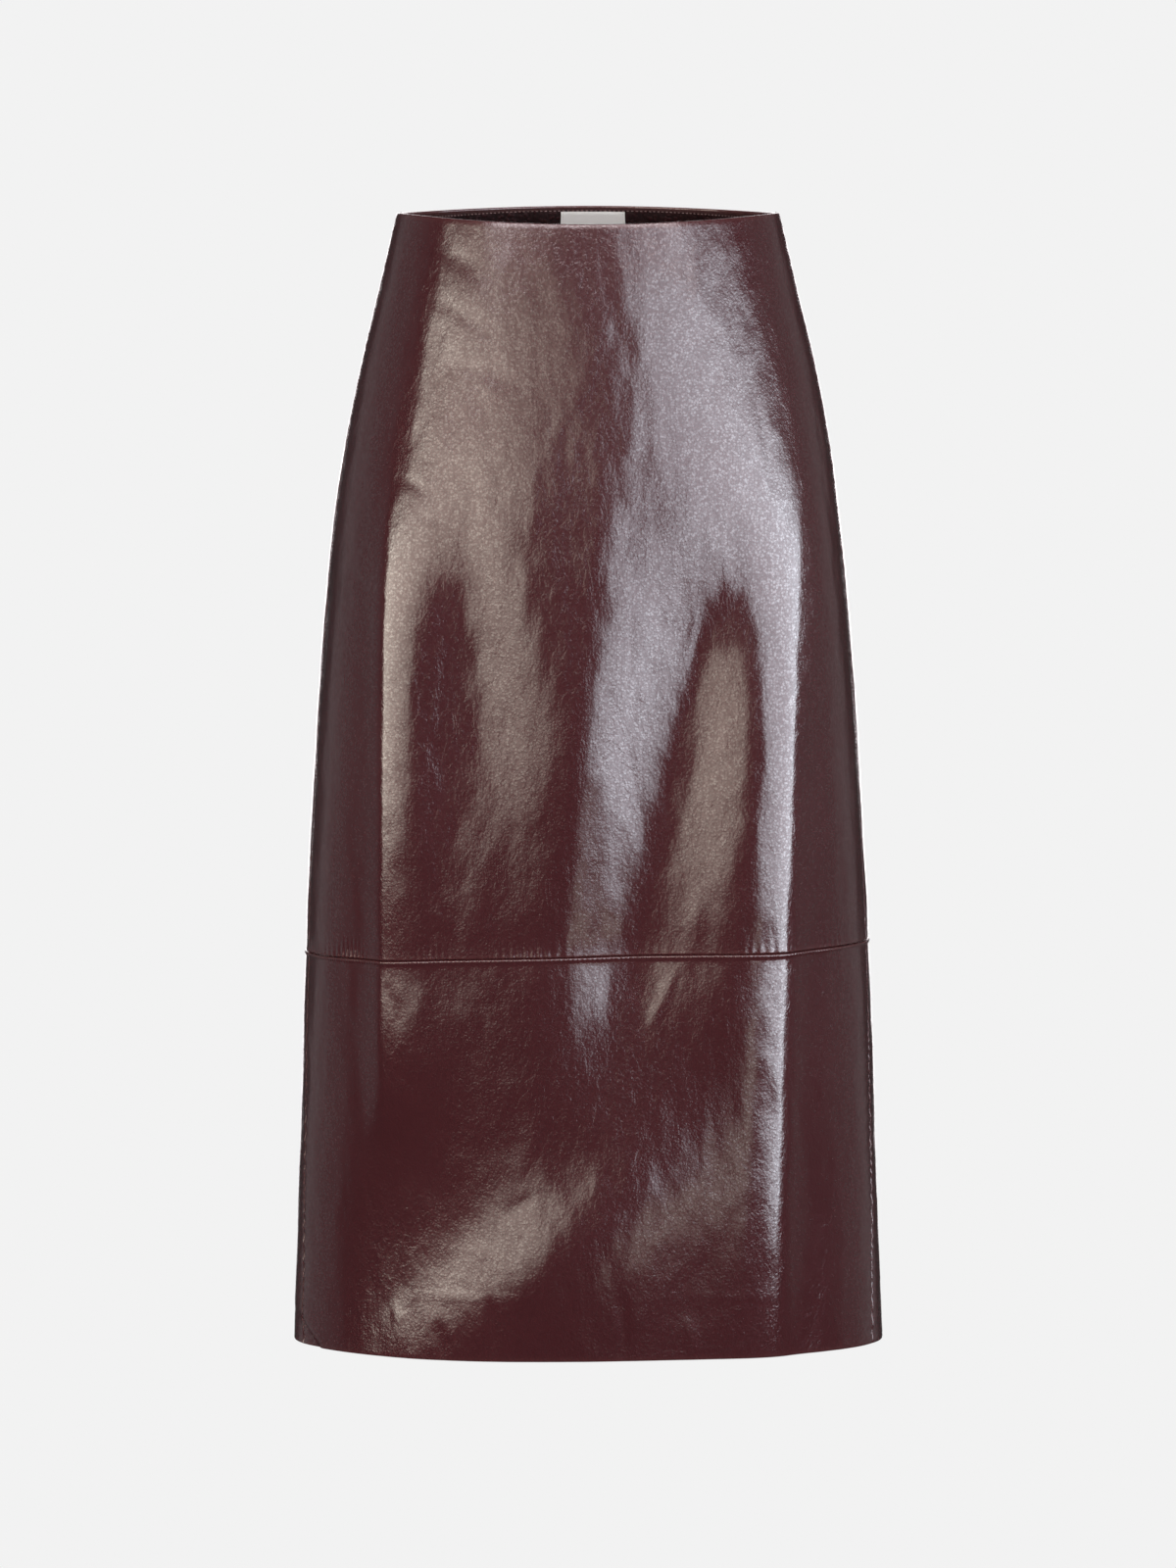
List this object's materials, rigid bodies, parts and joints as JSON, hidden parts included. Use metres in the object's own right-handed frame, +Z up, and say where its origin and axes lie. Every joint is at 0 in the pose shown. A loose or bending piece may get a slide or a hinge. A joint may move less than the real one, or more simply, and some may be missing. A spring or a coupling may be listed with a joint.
{
  "type": "leather skirt",
  "caption": "Glossy leather midi skirt, fitted at the waist and easing to the hem, hollow as worn, with a cross seam and a concealed side zip.",
  "frame": {"origin": "centre of the waist opening, level with its edge at the side seams", "axes": "+Z up the skirt from hem to waist, +X to the wearer's left, the front faces -Y"},
  "size_m": [0.3875, 0.2489, 0.7447],
  "materials": {
    "gloss_leather": "high-gloss oxblood leather with a fine flowing grain",
    "facing_leather": "dark pebbled facing leather, half matt",
    "label_cloth": "off-white woven label, bare",
    "zip_tape": "woven tape in the leather's colour, matt",
    "zip_metal": "dark satin metal"
  },
  "bodies": {
    "skirt": {"front_upper_panel": "gloss_leather", "front_lower_panel": "gloss_leather", "back_upper_panel": "gloss_leather", "back_lower_panel": "gloss_leather", "back_waist_facing": "facing_leather", "waist_label": "label_cloth", "side_zip_tape": "zip_tape", "zip_slider": "zip_metal"},
    "pull": {"zip_pull": "zip_metal"}
  },
  "joints": [
    {"name": "pull_hinge", "type": "hinge", "parent": "skirt", "child": "pull", "pos_m": [0.11806, -0.00871, -0.00724], "axis": [0.1399, 0.9902, 0], "range_deg": [0, 165]}
  ]
}
